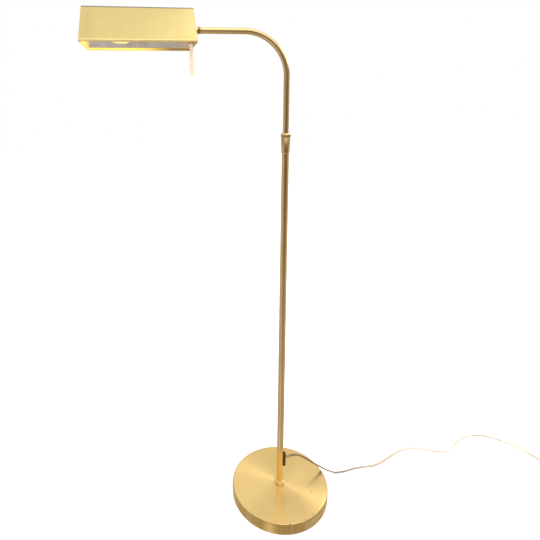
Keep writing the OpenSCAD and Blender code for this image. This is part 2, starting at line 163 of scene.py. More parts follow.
# ---- The mains lead: flat two-core flex, laid along the CAD's route, in mm ----
CORD_W = 5.4 * MM
CORD_T = 3.3 * MM
ROUTE = [
    (23, 0, 102), (32, 0.3, 102.9), (41, 1, 101.9), (48.5, 2, 98.9), (56, 3.4, 94.2),
    (69, 6, 83), (82, 9, 70.5), (96, 13, 57),
    (110, 16, 44), (122, 19, 33), (134, 22, 22.5), (147, 25, 13), (162, 27, 6), (178, 28, 3.2),
    (196, 29, 2.8), (220, 33, 2.8), (250, 34, 2.8), (282, 34, 2.8), (316, 45, 2.8),
    (347, 58, 2.8), (381, 70, 2.8), (418, 72, 2.8), (448, 62, 2.8), (475, 51, 2.8),
    (499, 46, 2.8), (523, 51, 2.8), (555, 70, 2.8), (580, 81, 2.8), (606, 87, 2.8),
    (634, 85, 2.8), (660, 75, 2.8), (685, 58, 2.8), (706, 36, 2.8), (722, 12, 2.8),
    (734, -14, 2.8), (742, -41, 2.8), (748, -68, 2.8),
]
TAIL = [
    (819, -112, 5.2), (829, -104.5, 4.2), (837, -96, 3.6), (842, -86, 4.2), (844.5, -75, 5.8),
    (845, -62, 6.9),
]
COIL_CENTRE = Vector((790, -85, 0)) * MM
COIL_LAYER_TURNS = 3
COIL_IN = 192
COIL_OUT = 300
COIL_INNER = 21.9 * MM
COIL_OUTER = 38.1 * MM


def coil_line(steps_per_turn=48):
    """Two flat layers of turns: inwards along the floor, up, and outwards on top of it."""
    extra = (COIL_OUT - COIL_IN) / 360
    total = 2 * COIL_LAYER_TURNS + extra
    low, high = 0.8 * MM + CORD_T / 2, 0.8 * MM + CORD_T * 1.55
    climb = 0.2
    line = []
    for i in range(int(total * steps_per_turn) + 1):
        t = i / steps_per_turn
        if t < COIL_LAYER_TURNS:
            r = COIL_OUTER + (COIL_INNER - COIL_OUTER) * t / COIL_LAYER_TURNS
            z = low
        else:
            u = t - COIL_LAYER_TURNS
            share = max(0.0, (u - climb) / (COIL_LAYER_TURNS + extra - climb))
            r = COIL_INNER + (COIL_OUTER - COIL_INNER) * share
            rise = min(1.0, u / climb)
            z = low + (high - low) * rise * rise * (3 - 2 * rise)
        angle = math.radians(COIL_IN) + 2 * math.pi * t
        line.append(COIL_CENTRE + Vector((r * math.cos(angle), r * math.sin(angle), z)))
    return line


def twist_at(s, run_length):
    """How far the flat flex is turned on its side, in radians: 0 lies flat."""
    wander = 0.95 * math.sin(s / 0.083) + 0.55 * math.sin(s / 0.037 + 1.3)
    fade_in = min(1.0, s / 0.05)
    fade_out = max(0.0, min(1.0, (run_length - s) / 0.08))
    return wander * fade_in * fade_out


def build_lead():
    """The run over the floor, the tied coil and the tail to the plug, as one skin."""
    run = even(catmull([Vector(p) * MM for p in ROUTE] + [coil_line()[0]], 12), 2.4 * MM)
    coil = coil_line()
    tail = catmull([coil[-1]] + [Vector(p) * MM for p in TAIL], 8)
    line = run + coil[1:] + tail[1:]
    run_count = len(run)
    run_length = sum((b - a).length for a, b in zip(run, run[1:]))
    touch_from, floor_from = 150 * MM, 190 * MM
    settle = 50 * MM
    clear = 0.1 * MM
    twists, s = [], 0.0
    for i, p in enumerate(line):
        s += (p - line[i - 1]).length if i else 0.0
        twists.append(twist_at(s, run_length) if i < run_count else 0.0)
        if i < run_count:
            on_floor = max(0.0, min(1.0, (p.x - touch_from) / (floor_from - touch_from)))
            lying = CORD_T / 2 + (CORD_W - CORD_T) / 2 * abs(math.sin(twists[-1])) + clear
            near_coil = max(0.0, 1 - (run_length - s) / settle)
            lying = lying * (1 - near_coil) + coil[0].z * near_coil
            p.z = p.z * (1 - on_floor) + lying * on_floor
    core = (CORD_W - CORD_T) / 2
    waist = 0.86
    sides = 20
    profile = []
    for k in range(sides):
        c, sn = math.cos(2 * math.pi * k / sides), math.sin(2 * math.pi * k / sides)
        if abs(c) < 1e-6:
            profile.append((0.0, CORD_T / 2 * sn * waist))
        else:
            profile.append((math.copysign(core, c) + CORD_T / 2 * c, CORD_T / 2 * sn))
    points, faces = [], []
    last = len(line) - 1
    for i, p in enumerate(line):
        along = (line[min(i + 1, last)] - line[max(i - 1, 0)]).normalized()
        flat = Vector((along.y, -along.x, 0)).normalized()
        up = flat.cross(along)
        c, sn = math.cos(twists[i]), math.sin(twists[i])
        wide, thin = flat * c + up * sn, up * c - flat * sn
        points += [p + wide * x + thin * y for x, y in profile]
    n = len(profile)
    for i in range(last):
        for k in range(n):
            a, b = i * n + k, i * n + (k + 1) % n
            faces.append((a, b, b + n, a + n))
    faces += [tuple(range(n)), tuple(last * n + k for k in range(n))[::-1]]
    stands_for = ("cord_run", "cord_coil", "cord_tail")
    lead = add_mesh("mains_lead", points, faces, "column", "cord_plastic", stands_for)
    length = sum((b - a).length for a, b in zip(line, line[1:]))
    return lead, line, length


lead, lead_line, lead_length = build_lead()


# ---- Shape builders ----
UPRIGHT = Matrix.Identity(4)
LEVEL = Matrix.Rotation(math.radians(-90), 4, "Y")
OUTWARD = Matrix.Rotation(math.radians(90), 4, "Y")


def start_of(node, turn):
    """The middle of the end of a node's box that its lathe profile starts from."""
    low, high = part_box(node)
    middle = (low + high) / 2
    if turn is UPRIGHT:
        middle.z = low.z
    elif turn is LEVEL:
        middle.x = high.x
    else:
        middle.x = low.x
    return middle


def lathe(name, node, profile, body, slot, turn=UPRIGHT, segments=64, start=None, ripple=None,
          replaces=None):
    """Turns a closed profile of (radius, distance) in mm about its axis. ripple changes the
    radius with the angle. A profile whose ends are on the axis is closed there."""
    place = Matrix.Translation(start or start_of(node, turn)) @ turn
    points, faces = [], []
    count = len(profile)
    for i in range(segments):
        a = 2 * math.pi * i / segments
        for r, h in profile:
            radius = r + (ripple(r, h, a) if ripple else 0)
            points.append(place @ (Vector((radius * math.cos(a), radius * math.sin(a), h)) * MM))
    solid = profile[0][0] == 0 and profile[-1][0] == 0
    for i in range(segments):
        j = (i + 1) % segments
        for k in range(count - 1 if solid else count):
            n = (k + 1) % count
            faces.append((i * count + k, j * count + k, j * count + n, i * count + n))
    obj = add_mesh(name, points, faces, body, slot, replaces if replaces is not None else (node,))
    weld(obj)
    crease(obj)
    return obj


def weld(obj):
    """Joins the points that meet on the axis."""
    bm = bmesh.new()
    bm.from_mesh(obj.data)
    bmesh.ops.remove_doubles(bm, verts=bm.verts, dist=1e-6)
    bmesh.ops.recalc_face_normals(bm, faces=bm.faces)
    bm.to_mesh(obj.data)
    bm.free()


def loft(name, rings, body, slot, replaces=(), open_ends=False):
    """A skin over rings of points, with the end rings filled."""
    count = len(rings[0])
    points = [p for ring in rings for p in ring]
    faces = []
    for i in range(len(rings) - 1):
        for k in range(count):
            a, b = i * count + k, i * count + (k + 1) % count
            faces.append((a, b, b + count, a + count))
    if open_ends:
        last = (len(rings) - 1) * count
        for k in range(count):
            a, b = k, (k + 1) % count
            faces.append((last + a, last + b, b, a))
    else:
        faces += [tuple(range(count))[::-1], tuple((len(rings) - 1) * count + k for k in range(count))]
    obj = add_mesh(name, points, faces, body, slot, replaces)
    crease(obj)
    return obj


def squircle(half_a, half_b, power, count=40):
    """A rounded rectangle: power 2 is an ellipse and higher is squarer."""
    out = []
    for k in range(count):
        c, s = math.cos(2 * math.pi * k / count), math.sin(2 * math.pi * k / count)
        out.append((math.copysign(half_a * abs(c) ** (2 / power), c),
                    math.copysign(half_b * abs(s) ** (2 / power), s)))
    return out


def arc(cx, cy, r, start, end, steps):
    """Points from start to end, in degrees."""
    angles = [math.radians(start + (end - start) * i / steps) for i in range(steps + 1)]
    return [(cx + r * math.cos(a), cy + r * math.sin(a)) for a in angles]


# ---- Base and column ----
def build_base():
    """Spun cover with a rounded rim, and the turned ring round the column's foot."""
    top = 27.9
    edge = 3.0
    wall = 1.2
    radius = 120.0
    bore = 5.4
    lip = 0.6
    profile = [(bore, top), (60, top), (110, top)] + arc(radius - edge, top - edge, edge, 90, 0, 10)
    profile += [(radius, 2 * lip)] + arc(radius - lip, lip, lip, 0, -90, 4)
    profile += [(radius - wall, 0), (radius - wall, top - edge)]
    profile += [(radius - edge, top - wall), (bore, top - wall)]
    lathe("base_shell", "base_cover", profile, "column", "base_brass", segments=256)
    ring = [(8.02, 0), (11.2, 0)] + arc(10.9, 2.2, 2.25, -65, 90, 10)
    ring += arc(9.6, 5.4, 1.2, -60, 90, 6) + [(8.02, 6.6)]
    lathe("column_foot", "foot_ring", ring, "column", "turned_brass", segments=96)


def build_lower_tube():
    """The column, its top edge eased."""
    low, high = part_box("lower_tube")
    tall = (high.z - low.z) / MM
    profile = [(7, 0), (8, 0), (8, tall / 2), (8, tall - 0.3), (7.7, tall), (7, tall)]
    lathe("column_tube", "lower_tube", profile, "column", "tube_brass", segments=96)


def build_collar():
    """Slightly flared barrel with the knurled clamp ring on it."""
    sleeve = [(8.0, 0), (8.45, 0), (8.7, 0.25), (9.15, 1.5), (9.2, 2.0), (9.68, 33.0), (9.35, 33.7),
              (8.0, 33.7)]
    lathe("collar_barrel", "collar_sleeve", sleeve, "column", "turned_brass", segments=96)
    teeth, tooth_depth, knurled_from = 72, 0.16, 10.3

    def knurl(r, h, a):
        return tooth_depth * math.cos(teeth * a) if r > knurled_from else 0.0

    ring = [(8.3, 0), (9.5, 0), (10.0, 0.35), (10.25, 1.0), (10.38, 1.5), (10.38, 4.0), (10.38, 6.5),
            (10.25, 7.0), (10.0, 7.6), (9.5, 8.0), (8.4, 8.05), (7.9, 8.5), (7.5, 9.4), (7.1, 9.8),
            (6.6, 9.8), (6.6, 5.9), (8.3, 5.8)]
    lathe("collar_ring", "clamp_ring", ring, "clamp_nut", "turned_brass", segments=teeth * 6,
          ripple=knurl)


def build_outlet():
    """Rounded oblong bush on the tube, and the short relief moulded on the lead."""
    low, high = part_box("cord_bush")
    mid_z = (low.z + high.z) / 2
    half_w, half_h = (high.y - low.y) / 2, (high.z - low.z) / 2
    soft = 3.4 * MM
    steps = [(4.7 * MM, 0.0)]
    for i in range(9):
        a = math.radians(90 * i / 8)
        steps.append((high.x - soft * (1 - math.sin(a)), soft * 0.9 * (1 - math.cos(a))))
    rings = []
    for x, inset in steps:
        w, h = half_w - inset, half_h - inset
        ring = []
        for side in (1, -1):
            for i in range(17):
                a = math.radians(180 * i / 16 + (0 if side > 0 else 180))
                ring.append(Vector((x, w * math.cos(a), mid_z + side * (h - w) + w * math.sin(a))))
        rings.append(ring)
    loft("outlet_bush", rings, "column", "brown_plastic", ("cord_bush",))
    relief = [(2.6, -0.5), (3.9, -0.5), (4.0, 0.6), (3.9, 1.2), (3.4, 1.6), (3.4, 2.3), (3.8, 2.7),
              (3.7, 3.6), (3.3, 4.0), (3.3, 4.7), (3.6, 5.1), (3.5, 6.0), (3.1, 6.4), (3.1, 7.0),
              (3.3, 7.4), (3.2, 8.5), (2.9, 9), (2.6, 9)]
    lathe("lead_relief", "strain_relief", relief, "column", "relief_plastic", turn=OUTWARD)


# ---- Arm ----
def build_arm():
    """Bent tube with its bore, the knuckle turned on its end, and the friction washer."""
    low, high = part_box("arm_tube")
    radius = (high.y - low.y) / 2
    wall = 1 * MM
    bend = 90 * MM
    axis_z = high.z - radius
    steps = 40
    line = [Vector((0, 0, low.z)), Vector((0, 0, low.z + 0.3))]
    for i in range(steps + 1):
        a = math.radians(90 * i / steps)
        line.append(Vector((-bend + bend * math.cos(a), 0, axis_z - bend + bend * math.sin(a))))
    line.append(Vector((low.x, 0, axis_z)))
    sides = 64
    rings = []
    for skin in (radius, radius - wall):
        side = []
        for i, p in enumerate(line):
            along = (line[min(i + 1, len(line) - 1)] - line[max(i - 1, 0)]).normalized()
            if i <= 2:
                along = Vector((0, 0, 1))
            if i >= len(line) - 2:
                along = Vector((-1, 0, 0))
            across = Vector((0, 1, 0))
            other = along.cross(across)
            angles = [2 * math.pi * k / sides for k in range(sides)]
            side.append([p + skin * (across * math.cos(a) + other * math.sin(a)) for a in angles])
        rings += side if skin == radius else side[::-1]
    loft("arm_bent_tube", rings, "arm", "tube_brass", ("arm_tube",), open_ends=True)
    end = [(4.5, 0), (5.2, 0), (5.2, 12.0), (6.3, 12.1), (6.9, 12.8), (7.1, 13.8), (6.9, 14.8),
           (6.2, 15.9), (5.7, 17.5), (4.5, 17.5)]
    lathe("arm_end_knuckle", "arm_end_ring", end, "arm", "turned_brass", turn=LEVEL)
    washer = [(4.5, 0), (7.2, 0), (7.4, 0.3), (7.4, 1.2), (7.2, 1.5), (4.5, 1.5)]
    lathe("knuckle_washer", "friction_washer", washer, "arm", "friction_fibre", turn=LEVEL)


# ---- Shade ----
def build_shade():
    """Folded sheet with a rounded ridge and rolled long edges, and the pale coat inside it."""
    low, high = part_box("shade_shell")
    half_w = (high.y - low.y) / 2 / MM
    tall = (high.z - low.z) / MM
    ridge = 6.0
    sheet = 1.2
    roll = 2.8
    slope = math.atan2(tall - ridge, half_w) + math.asin(ridge / math.hypot(tall - ridge, half_w))
    roll_y = half_w - (roll * math.cos(slope) + sheet / 2) / math.sin(slope)

    def ridge_arc(r, steps=14):
        angles = [math.pi / 2 - slope + 2 * slope * i / steps for i in range(steps + 1)]
        return [(r * math.cos(a), tall - ridge + r * math.sin(a)) for a in angles]

    tilt = math.degrees(slope)
    touch = math.degrees(math.asin(sheet / 2 / roll))

    def section(inset):
        """The roll round one foot, the outer skin, the other roll and the inner skin, closed."""
        curl = arc(roll_y, roll, roll - inset, 180 - tilt - touch, touch - 180 - tilt, 22)
        outer = curl[::-1] + ridge_arc(ridge - inset) + [(-x, y) for x, y in curl]
        return outer + ridge_arc(ridge - sheet)[::-1]

    def laid(x, outline):
        return [Vector((x, y * MM, low.z + z * MM)) for y, z in outline]

    ends = [(0.0, 0.45), (0.08, 0.25), (0.25, 0.08), (0.5, 0.0)]
    long = (high.x - low.x) / MM
    middle = [(long * i / 8, 0.0) for i in range(1, 8)]
    stops = ends + middle + [(long - x, inset) for x, inset in ends[::-1]]
    rings = [laid(high.x - x * MM, section(inset)) for x, inset in stops]
    loft("shade_tent", rings, "head", "shade_brass", ("shade_shell",))

    coat, cap, off_cap = 0.12, 1.21, 1.3
    edge = 2 * roll - 0.4
    foot = half_w - (sheet + edge * math.cos(slope)) / math.sin(slope)
    over = [(foot, edge)] + ridge_arc(ridge - sheet) + [(-foot, edge)]
    under = [(-x, y) for x, y in ridge_arc(ridge - sheet - coat)]
    skin = over + [(-foot + coat, edge)] + under + [(foot - coat, edge)]
    ends = (high.x - off_cap * MM, low.x + off_cap * MM)
    loft("shade_coat", [laid(x, skin) for x in ends], "head", None)
    inside = [(foot, edge)] + ridge_arc(ridge - sheet - 0.2)
    inside += [(-foot, edge), (3 - foot, 0.5), (foot - 3, 0.5)]
    for name, x, gap in (("cap_coat", high.x - cap * MM, -coat * MM),
                         ("far_cap_coat", low.x + cap * MM, coat * MM)):
        loft(name, [laid(x, inside), laid(x + gap, inside)], "head", None)


def build_boss():
    """The turned seat on the end cap, where the knuckle meets it."""
    boss = [(4.55, 0), (6.0, 0), (6.4, 0.5), (6.4, 6.8), (6.7, 7.4), (7.7, 8.3), (7.9, 8.95),
            (4.55, 8.95)]
    lathe("shade_boss", "cap_boss", boss, "head", "turned_brass", turn=LEVEL)


def build_lamp():
    """Ribbed holder, its ring, and the lit globe. The glass casts no shadow of the light in it."""
    low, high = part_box("lamp_holder")
    long = (high.x - low.x) / MM
    band = long - 22
    holder = [(5, 0), (11, 0), (13.5, 0.8), (16.3, 3.2), (17.4, 6.5), (17.8, 11)]
    h, rib = 12.0, 3.2
    while h < band - 4:
        holder += [(17.9, h), (17.9, h + 1.9), (17.4, h + 2.2), (17.4, h + 2.9)]
        h += rib
    holder += [(17.9, band - 0.6), (19.4, band + 0.8), (19.5, band + 2), (19.5, long - 4.2),
               (19.2, long - 3.2), (17, long - 3), (17, long - 0.4), (16.6, long), (15.6, long),
               (15.1, long - 0.6), (15.1, 46), (5, 46)]
    lathe("bulb_socket", "lamp_holder", holder, "head", "phenolic", turn=LEVEL)
    flange = [(17.05, 0), (27.1, 0), (27.5, 0.4), (27.5, 2.1), (27.1, 2.5), (24.0, 2.5), (23.4, 2.0),
              (17.05, 2.0)]
    lathe("socket_ring", "holder_ring", flange, "head", "turned_brass", turn=LEVEL, segments=96)
    low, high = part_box("bulb_glass")
    long = (high.x - low.x) / MM
    neck, wide = 14.5, (high.z - low.z) / 2 / MM
    centre = long - wide
    neck_end, steps, swell, blunt = 3.5, 16, 1.35, 2 / 2.5
    glass = [(0, 0), (12.4, 0), (13.2, 0.5), (13.9, 1.8), (neck, neck_end)]
    for i in range(1, steps + 1):
        t = min(1.0, swell * i / steps)
        glass.append((neck + (wide - neck) * (3 * t * t - 2 * t ** 3),
                      neck_end + (centre - neck_end) * i / steps))
    for i in range(1, 18):
        a = math.radians(5 * i)
        glass.append((wide * math.cos(a) ** blunt, centre + wide * math.sin(a) ** blunt))
    glass.append((0, centre + wide))
    bulb = lathe("bulb_envelope", "bulb_glass", glass, "head", "bulb_glass", turn=LEVEL, segments=96)
    bulb.visible_shadow = False


def build_lever():
    """Flat rounded paddle hanging from its pin, wider towards its tip."""
    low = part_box("switch_lever")[0]
    pin = Vector(next(j for j in frame["joints"] if j["name"] == "switch_rock")["pos_m"])
    lean = math.radians(0.5)
    down = Vector((math.sin(lean), 0, -math.cos(lean)))
    across = Vector((math.cos(lean), 0, math.sin(lean)))
    half_w, tip_r, half_t = 3.5, 4.2, 2.5
    reach = (pin.z - low.z) / MM
    tip_s = reach - tip_r
    stops = [(-3.3, 0.9), (-2.9, 1.7), (-2.0, 2.7), (0, half_w)]
    stops += [(tip_s * i / 8, half_w + (tip_r - half_w) * i / 8) for i in range(1, 9)]
    stops += [(tip_s + tip_r * math.sin(math.radians(a)), tip_r * math.cos(math.radians(a)))
              for a in (12, 24, 36, 48, 59, 69, 78, 84)]
    rings = []
    for s, half in stops:
        middle = pin + down * s * MM
        thin = half_t * min(1.0, half / half_w) ** 0.6
        rings.append([middle + (across * a + Vector((0, 1, 0)) * b) * MM
                      for a, b in squircle(half, thin, 3.0)])
    loft("lever_paddle", rings, "lever", "ivory_plastic", ("switch_lever",))
    sides = 40
    angles = [2 * math.pi * k / sides for k in range(sides)]
    hub = []
    for y, r in ((-3.5, 3.0), (-3.2, 3.4), (-2.8, 3.5), (2.8, 3.5), (3.2, 3.4), (3.5, 3.0)):
        hub.append([pin + Vector((r * math.cos(a), y, r * math.sin(a))) * MM for a in angles])
    loft("lever_hub", hub, "lever", "ivory_plastic")


# ---- Plug and tie ----
def build_plug():
    """Moulded body with a ribbed neck, and two pins with half sleeves."""
    low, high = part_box("plug_body")
    x, z = (low.x + high.x) / 2, (low.z + high.z) / 2
    neck_long = 12
    stops = [(0, 3.1, 2.9), (0.6, 3.5, 3.2), (3.0, 3.7, 3.4), (3.6, 4.3, 3.9), (5.6, 4.4, 4.0),
             (6.2, 3.9, 3.6), (7.6, 4.0, 3.7), (8.2, 4.7, 4.3), (10.2, 4.9, 4.5), (10.8, 4.4, 4.1),
             (12.2, 4.8, 4.4), (13, 6.4, 5.2), (15, 9.3, 5.9), (18, 11.2, 6.3), (24, 12.2, 6.5),
             (29, 13.4, 6.6), (34, 15.8, 6.7), (38, 17.1, 6.8), (40.6, 17.4, 6.8), (41.6, 17.1, 6.5),
             (42, 16.4, 5.9)]
    rings = []
    for s, a, b in stops:
        outline = squircle(a, b, 3.0 if s > neck_long else 2.2)
        rings.append([Vector((x + p * MM, low.y + s * MM, z + q * MM)) for p, q in outline])
    loft("plug_shell", rings, "column", "cord_plastic", ("plug_body",))
    pin_low, pin_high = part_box("plug_pins")
    along_y = Matrix.Rotation(math.radians(-90), 4, "X")
    shown = (pin_high.y - high.y) / MM
    for name, px in (("plug_pin_left", pin_low.x + 2 * MM), ("plug_pin_right", pin_high.x - 2 * MM)):
        pin = [(0, -4), (2, -4), (2, shown - 1.6), (1.7, shown - 0.7), (1.0, shown - 0.1), (0, shown)]
        lathe(name, "plug_pins", pin, "column", "zinc_steel", turn=along_y,
              start=Vector((px, high.y, z)), segments=32,
              replaces=("plug_pins",) if name.endswith("left") else ())
        sleeve = [(2.01, -1), (2.3, -1), (2.3, 9.6), (2.2, 9.9), (2.01, 9.9)]
        lathe(name.replace("pin", "sleeve"), "plug_pins", sleeve, "column", "phenolic", turn=along_y,
              start=Vector((px, high.y, z)), segments=32, replaces=())


def build_tie():
    """Rubber band round the coil's section."""
    tie_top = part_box("cord_tie")[1].z
    angle = math.radians(100)
    out = Vector((math.cos(angle), math.sin(angle), 0))
    along = Vector((-math.sin(angle), math.cos(angle), 0))
    thick = 0.8 * MM
    inner, outer = COIL_INNER - CORD_W / 2 - thick / 2, COIL_OUTER + CORD_W / 2 + thick / 2
    bottom, top = thick / 2, tie_top - thick / 2
    corner = 2.2 * MM
    path = []
    for cx, cz, start in ((outer - corner, top - corner, 0), (inner + corner, top - corner, 90),
                          (inner + corner, bottom + corner, 180), (outer - corner, bottom + corner, 270)):
        path += [(px, pz, math.radians(start + 90 * i / 6)) for i, (px, pz) in
                 enumerate(arc(cx, cz, corner, start, start + 90, 6))]
    half_w = 3.4 * MM
    section = ((-1, -0.6), (-0.92, -1), (0.92, -1), (1, -0.6), (1, 0.6), (0.92, 1), (-0.92, 1), (-1, 0.6))
    rings = []
    for r, z, a in path:
        normal = out * math.cos(a) + Vector((0, 0, 1)) * math.sin(a)
        middle = COIL_CENTRE + out * r + Vector((0, 0, z))
        rings.append([middle + along * u * half_w + normal * v * thick / 2 for u, v in section])
    loft("coil_band", rings, "column", "tie_rubber", ("cord_tie",), open_ends=True)


build_base()
build_lower_tube()
build_collar()
build_outlet()
build_arm()
build_shade()
build_boss()
build_lamp()
build_lever()
build_plug()
build_tie()


# ---- Materials ----
def map_range(tree, value, low, high, to_low, to_high):
    """Carries low to high over to to_low to to_high, and holds the ends."""
    node = tree.nodes.new("ShaderNodeMapRange")
    for key, number in (("From Min", low), ("From Max", high), ("To Min", to_low), ("To Max", to_high)):
        node.inputs[key].default_value = number
    tree.links.new(value, node.inputs["Value"])
    return node.outputs["Result"]


def mix_colours(tree, factor, a, b):
    """Mixes two colours, each a plain tuple or another node's output."""
    node = tree.nodes.new("ShaderNodeMix")
    node.data_type = "RGBA"
    tree.links.new(factor, node.inputs["Factor"])
    for socket, value in ((6, a), (7, b)):
        if isinstance(value, tuple):
            node.inputs[socket].default_value = (*value, 1)
        else:
            tree.links.new(value, node.inputs[socket])
    return node.outputs[2]


def split_vector(tree, vector):
    """The outputs X, Y and Z of a vector."""
    node = tree.nodes.new("ShaderNodeSeparateXYZ")
    tree.links.new(vector, node.inputs[0])
    return node.outputs


class Nodes:
    """Short names for the nodes that the finishes are made of."""

    def __init__(self, name):
        self.mat = bpy.data.materials.new(name)
        self.mat.use_nodes = True
        self.tree = self.mat.node_tree
        self.shader = self.tree.nodes["Principled BSDF"]
        self.coords = self.tree.nodes.new("ShaderNodeTexCoord").outputs["Object"]

    def set(self, **values):
        for key, value in values.items():
            self.shader.inputs[key.replace("_", " ")].default_value = value

    def link(self, out, socket):
        self.tree.links.new(out, self.shader.inputs[socket])

    def colour_so_far(self):
        return self.shader.inputs["Base Color"].links[0].from_socket

    def stretched(self, scale, turn=(0, 0, 0)):
        node = self.tree.nodes.new("ShaderNodeMapping")
        node.inputs["Scale"].default_value = scale
        node.inputs["Rotation"].default_value = turn
        self.tree.links.new(self.coords, node.inputs["Vector"])
        return node.outputs["Vector"]

    def radius(self):
        """Distance from the column's axis, for marks left by turning or spinning."""
        flat = self.tree.nodes.new("ShaderNodeVectorMath")
        flat.operation = "MULTIPLY"
        flat.inputs[1].default_value = (1, 1, 0)
        self.tree.links.new(self.coords, flat.inputs[0])
        size = self.tree.nodes.new("ShaderNodeVectorMath")
        size.operation = "LENGTH"
        self.tree.links.new(flat.outputs["Vector"], size.inputs[0])
        return size.outputs["Value"]

    def axis(self, name):
        return split_vector(self.tree, self.coords)[name]

    def facing(self):
        """The parts of the direction that the surface faces."""
        return split_vector(self.tree, self.tree.nodes.new("ShaderNodeNewGeometry").outputs["Normal"])

    def distance(self, point):
        away = self.tree.nodes.new("ShaderNodeVectorMath")
        away.operation = "DISTANCE"
        away.inputs[1].default_value = point
        self.tree.links.new(self.coords, away.inputs[0])
        return away.outputs["Value"]

    def noise(self, scale, detail=4, vector=None, rough=0.5):
        node = self.tree.nodes.new("ShaderNodeTexNoise")
        node.inputs["Scale"].default_value = scale
        node.inputs["Detail"].default_value = detail
        node.inputs["Roughness"].default_value = rough
        self.tree.links.new(vector or self.coords, node.inputs["Vector"])
        return node.outputs["Fac"]

    def rings(self, scale, value):
        node = self.tree.nodes.new("ShaderNodeTexNoise")
        node.noise_dimensions = "1D"
        node.inputs["Scale"].default_value = scale
        node.inputs["Detail"].default_value = 3
        self.tree.links.new(value, node.inputs["W"])
        return node.outputs["Fac"]

    def span(self, value, low, high, to_low, to_high):
        return map_range(self.tree, value, low, high, to_low, to_high)

    def mix(self, factor, a, b):
        return mix_colours(self.tree, factor, a, b)

    def bump(self, height, strength, distance, after=None):
        node = self.tree.nodes.new("ShaderNodeBump")
        node.inputs["Strength"].default_value = strength
        node.inputs["Distance"].default_value = distance
        self.tree.links.new(height, node.inputs["Height"])
        if after:
            self.tree.links.new(after, node.inputs["Normal"])
        return node.outputs["Normal"]


def brass(name, clean, aged, tarnish, rough, grain, grain_depth):
    """Lacquered brass: cloudy ageing, small tarnish specks and a grain of fine brush marks."""
    n = Nodes(name)
    n.set(Metallic=1.0)
    cloud = n.span(n.noise(9, 5), 0.35, 0.65, 0, 1)
    colour = n.mix(cloud, clean, aged)
    specks = n.span(n.noise(260, 3, rough=0.7), 0.70, 0.80, 0, 0.8)
    n.link(n.mix(specks, colour, tarnish), "Base Color")
    marks = n.noise(1, 4, n.stretched(grain), rough=0.65)
    n.link(n.span(marks, 0.3, 0.7, rough * 0.8, rough * 1.25), "Roughness")
    dents = n.bump(n.noise(14, 2), 0.08, 0.002)
    n.link(n.bump(marks, grain_depth, 0.0002, dents), "Normal")
    return n


def finish_shade():
    """Brushed sheet with cross bands and a painted dark reflection along the ridge. The rolled edges have
    painted light: the bulb's glow on the far roll's inner side and a painted highlight on the near roll."""
    n = brass("shade_brass", (0.87, 0.72, 0.315), (0.83, 0.665, 0.28), (0.45, 0.28, 0.12), 0.34,
              (900, 12, 12), 0.12)
    low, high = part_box("shade_shell")
    bands = n.span(n.rings(55, n.axis("X")), 0.35, 0.65, 0, 0.22)
    colour = n.mix(bands, n.colour_so_far(), (0.80, 0.60, 0.26))
    # A painted dark line along the ridge stands in for the ridge's dark reflection.
    painted_ridge_reflection = n.span(n.axis("Z"), high.z - 3.4 * MM, high.z - 2.4 * MM, 0, 1)
    n.link(n.mix(painted_ridge_reflection, colour, (0.30, 0.26, 0.21)), "Base Color")

    # Painted light on the rolled edges, as emission: a bulb-lit glow on the far roll's inner side that fades past
    # the bulb, and a painted highlight on the near roll's front.
    dark = (0.0, 0.0, 0.0)
    faces = n.facing()
    on_roll = n.span(n.axis("Z"), low.z + 4.6 * MM, low.z + 5.4 * MM, 1, 0)
    inward = n.span(faces["Y"], -0.25, 0.3, 1, 0)
    near_side = n.span(n.axis("Y"), -20 * MM, 20 * MM, 1, 0)
    past_bulb = n.span(n.axis("X"), high.x - 92 * MM, high.x - 40 * MM, 0, 1)
    far_roll_painted_bulb_light = n.mix(past_bulb, (0.80, 0.50, 0.07), (0.07, 0.03, 0.008))
    beside = n.span(faces["Z"], -0.93, -0.6, 0, 1)
    upward = n.span(faces["Z"], 0.15, 0.66, 0, 1)
    near_roll_painted_highlight = n.mix(upward, n.mix(beside, (0.03, 0.02, 0.008), (0.34, 0.26, 0.10)), dark)
    glow = n.mix(inward, dark, n.mix(near_side, far_roll_painted_bulb_light, near_roll_painted_highlight))
    n.link(n.mix(on_roll, dark, glow), "Emission Color")
    n.set(Emission_Strength=1.0)
    return n.mat


